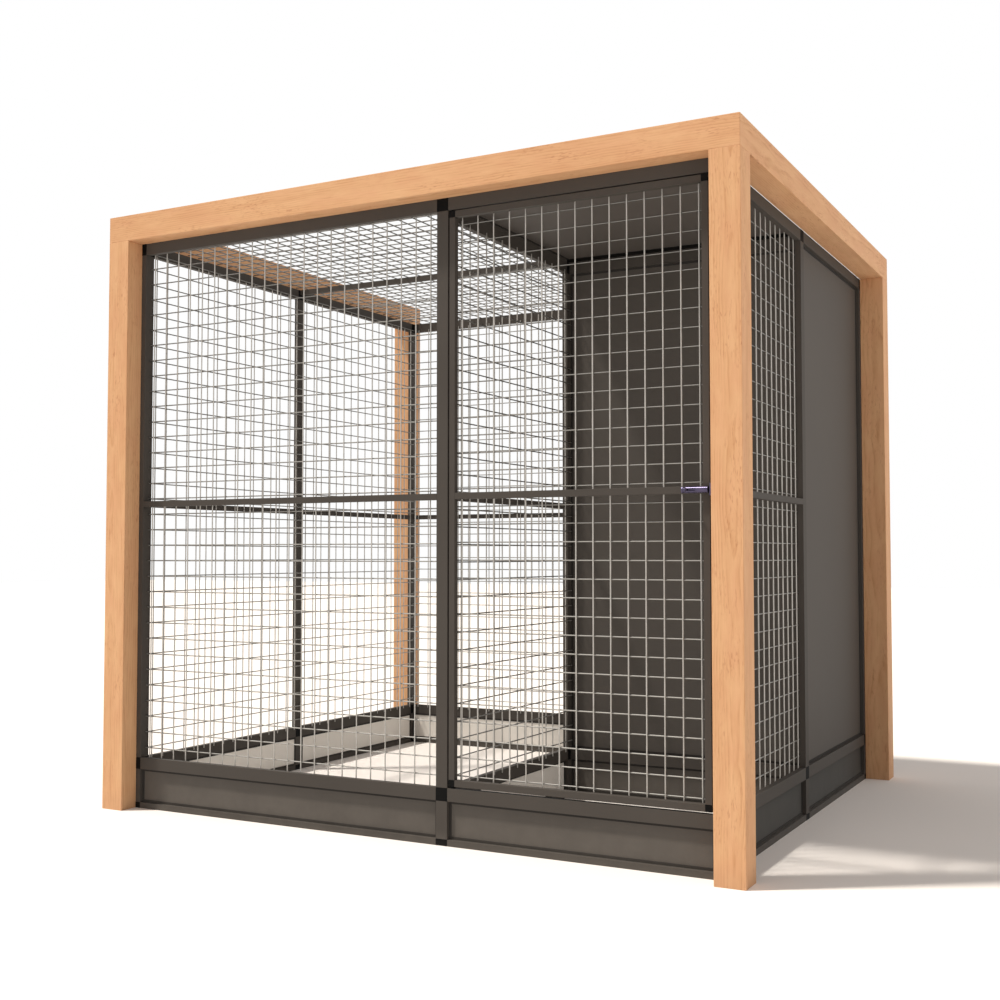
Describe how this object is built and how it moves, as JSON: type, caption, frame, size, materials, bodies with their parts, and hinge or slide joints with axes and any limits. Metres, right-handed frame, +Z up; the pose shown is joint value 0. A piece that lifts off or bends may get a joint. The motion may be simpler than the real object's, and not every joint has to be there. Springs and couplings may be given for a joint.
{
  "type": "cat run",
  "caption": "Walk-in cat run: coated metal frame with wire mesh, closed shelter, roofed lobby with a bolted door, and an open timber post-and-beam surround.",
  "frame": {"origin": "centre of the run's footprint, on the ground under the posts", "axes": "+X to the right as seen from the door side, +Y from the door side to the back, +Z up"},
  "size_m": [2.31, 1.95, 2.08],
  "materials": {
    "timber": "planed and oiled softwood",
    "frame": "satin grey-brown powder coat",
    "wire": "dull galvanised",
    "black_plastic": "matt moulded nylon",
    "rubber": "matt extruded rubber",
    "panel": "satin grey-brown sheet",
    "kick_panel": "satin grey-brown sheet, pale on the side towards the run",
    "bolt_metal": "dark satin metal",
    "steel": "bright zinc"
  },
  "bodies": {
    "run": {"post_front_left": "timber", "post_front_right": "timber", "post_rear_left": "timber", "post_rear_right": "timber", "beam_front": "timber", "beam_left": "timber", "beam_right": "timber", "beam_dowels": "steel", "frame_pins": "steel", "corner_tubes": "frame", "front_centre_post": "frame", "rear_centre_post": "frame", "left_mid_post": "frame", "right_mid_post": "frame", "inner_post": "frame", "front_top_rail": "frame", "rear_top_rail": "frame", "left_top_rail": "frame", "right_top_rail": "frame", "front_kick_rails": "frame", "rear_kick_rails": "frame", "left_kick_rails": "frame", "right_kick_rails": "frame", "mid_rails": "frame", "partition_top_rail": "frame", "partition_kick_rails": "frame", "shelter_top_rail": "frame", "shelter_kick_rails": "frame", "roof_centre_beam": "frame", "roof_cross_beam": "frame", "frame_connectors": "black_plastic", "front_mesh": "wire", "left_mesh": "wire", "rear_mesh": "wire", "right_mesh": "wire", "partition_mesh": "wire", "roof_mesh": "wire", "outer_kick_panels": "kick_panel", "inner_kick_panels": "kick_panel", "right_panel": "panel", "rear_panel": "panel", "shelter_side_panel": "panel", "shelter_front_panel": "panel", "roof_panels": "panel", "panel_seals": "rubber", "roof_strip": "rubber", "hatch_trim": "black_plastic", "pivot_pins": "steel", "pivot_washers": "black_plastic", "bolt_keeper": "bolt_metal", "keeper_screws": "steel"},
    "door": {"door_hinge_stile": "frame", "door_latch_stile": "frame", "door_rails": "frame", "door_connectors": "black_plastic", "door_mesh": "wire", "bolt_barrel": "bolt_metal", "bolt_screws": "steel"},
    "bolt": {"bolt_rod": "bolt_metal"}
  },
  "joints": [
    {"name": "door_hinge", "type": "hinge", "parent": "run", "child": "door", "pos_m": [0.216, -0.897, 1.0635], "axis": [0, 0, -1], "range_deg": [0, 105]},
    {"name": "bolt_slide", "type": "slide", "parent": "door", "child": "bolt", "axis": [1, 0, 0], "range_m": [0, 0.022]}
  ]
}
